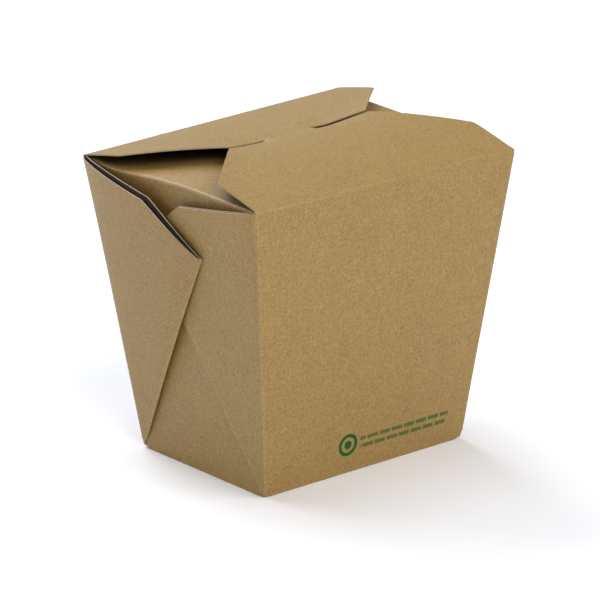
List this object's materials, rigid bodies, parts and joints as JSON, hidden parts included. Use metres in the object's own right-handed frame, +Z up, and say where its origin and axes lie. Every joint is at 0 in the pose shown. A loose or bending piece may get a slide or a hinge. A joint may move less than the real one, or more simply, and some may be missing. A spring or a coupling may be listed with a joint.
{
  "type": "noodle takeaway box",
  "caption": "Closed noodle takeaway box of plain kraft board, with tapered walls, folded corner gussets and two locked lid flaps crossing on top",
  "frame": {"origin": "the middle of the flat base, on the surface that the box stands on", "axes": "+X points to the right of the front wall, along the box's width; +Y points from the front wall to the back wall; +Z points up"},
  "size_m": [0.1178, 0.0892, 0.109],
  "materials": {
    "kraft_board": "uncoated brown kraft board, matt, with a fine fibre fleck"
  },
  "bodies": {
    "root": {"carton": "kraft_board"}
  },
  "joints": []
}
